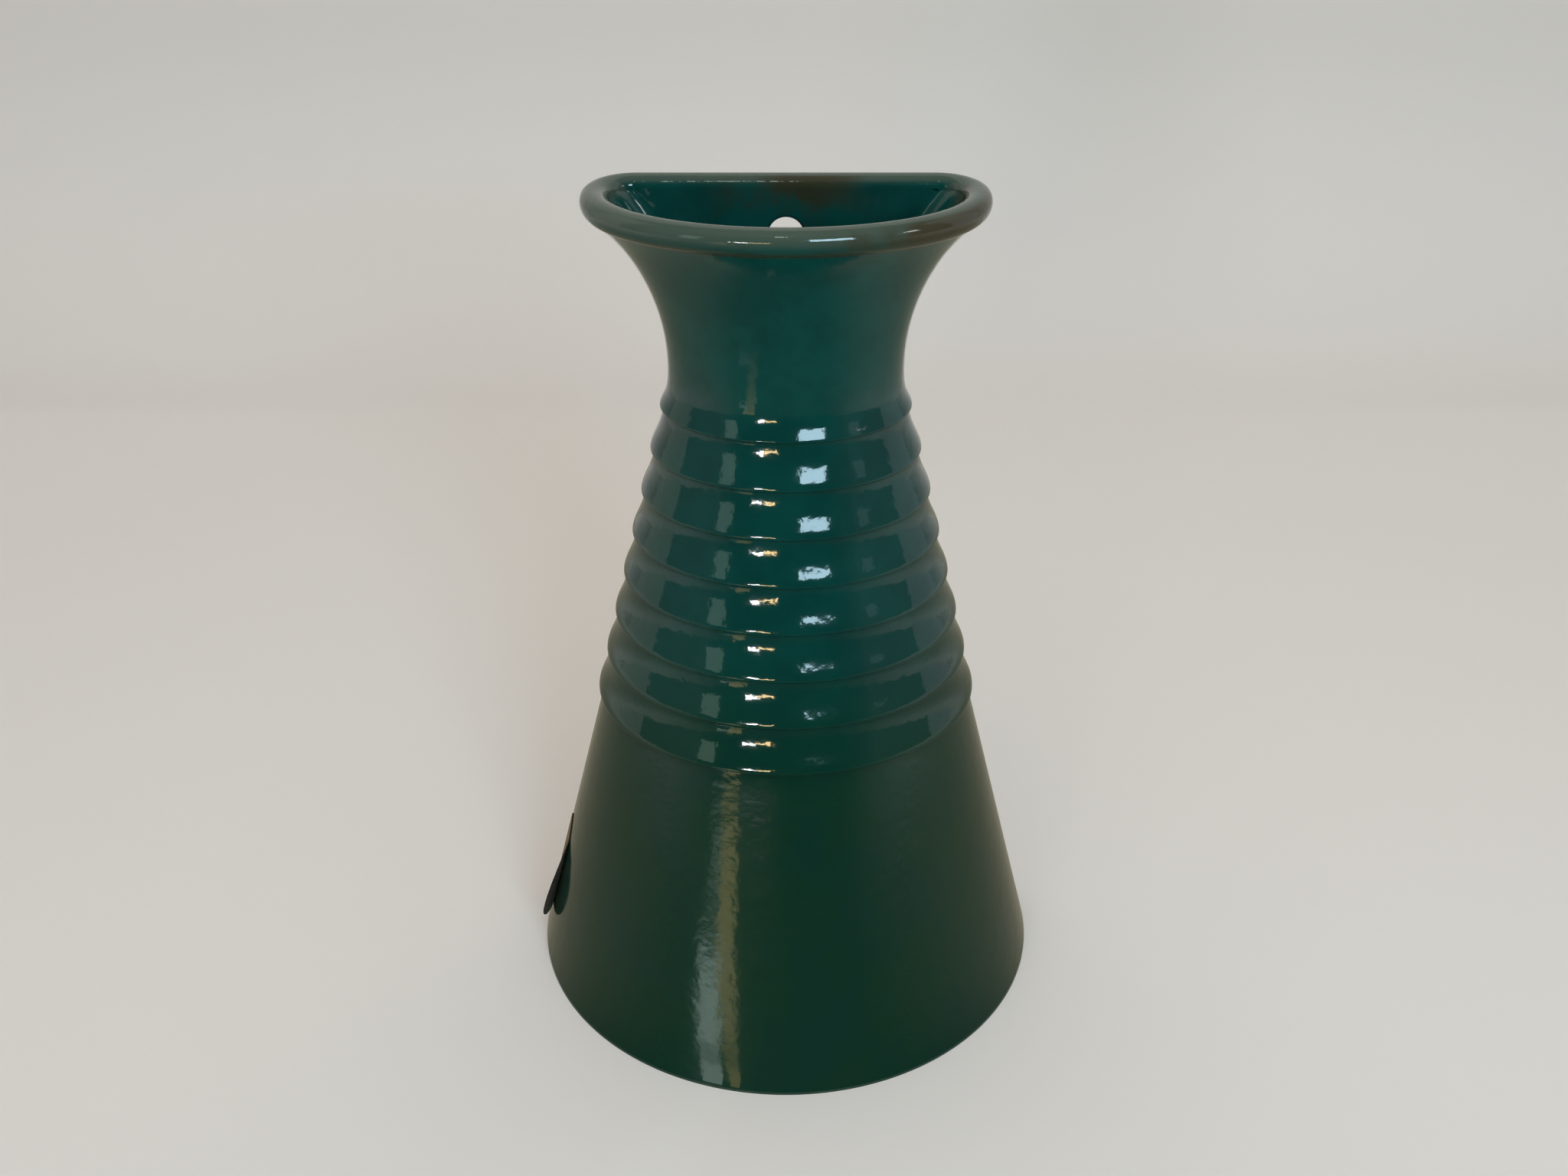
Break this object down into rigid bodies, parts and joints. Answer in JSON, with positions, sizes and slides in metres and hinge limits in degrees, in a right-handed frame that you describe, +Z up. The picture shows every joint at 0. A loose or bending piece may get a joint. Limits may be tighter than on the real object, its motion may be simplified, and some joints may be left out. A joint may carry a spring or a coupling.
{
  "type": "hanging wall vase",
  "caption": "Half-round glazed ceramic wall vase with a flat back, a hang hole, a ribbed waist, a plain skirt and a flared mouth with a rolled edge.",
  "frame": {"origin": "in the plane of the foot, under the throwing axis, 14.8 mm in front of the flat back", "axes": "+Z up along the vase, +Y out of the flat back towards the wall, +X to the right seen from the front"},
  "size_m": [0.1497, 0.091, 0.2302],
  "materials": {
    "glaze": "gloss",
    "bare_clay": "matte",
    "sticker": "satin"
  },
  "bodies": {
    "root": {"front_shell": "glaze", "back_slab": "glaze", "rim_roll": "glaze", "base_slab": "bare_clay", "blank_sticker": "sticker"}
  },
  "joints": []
}
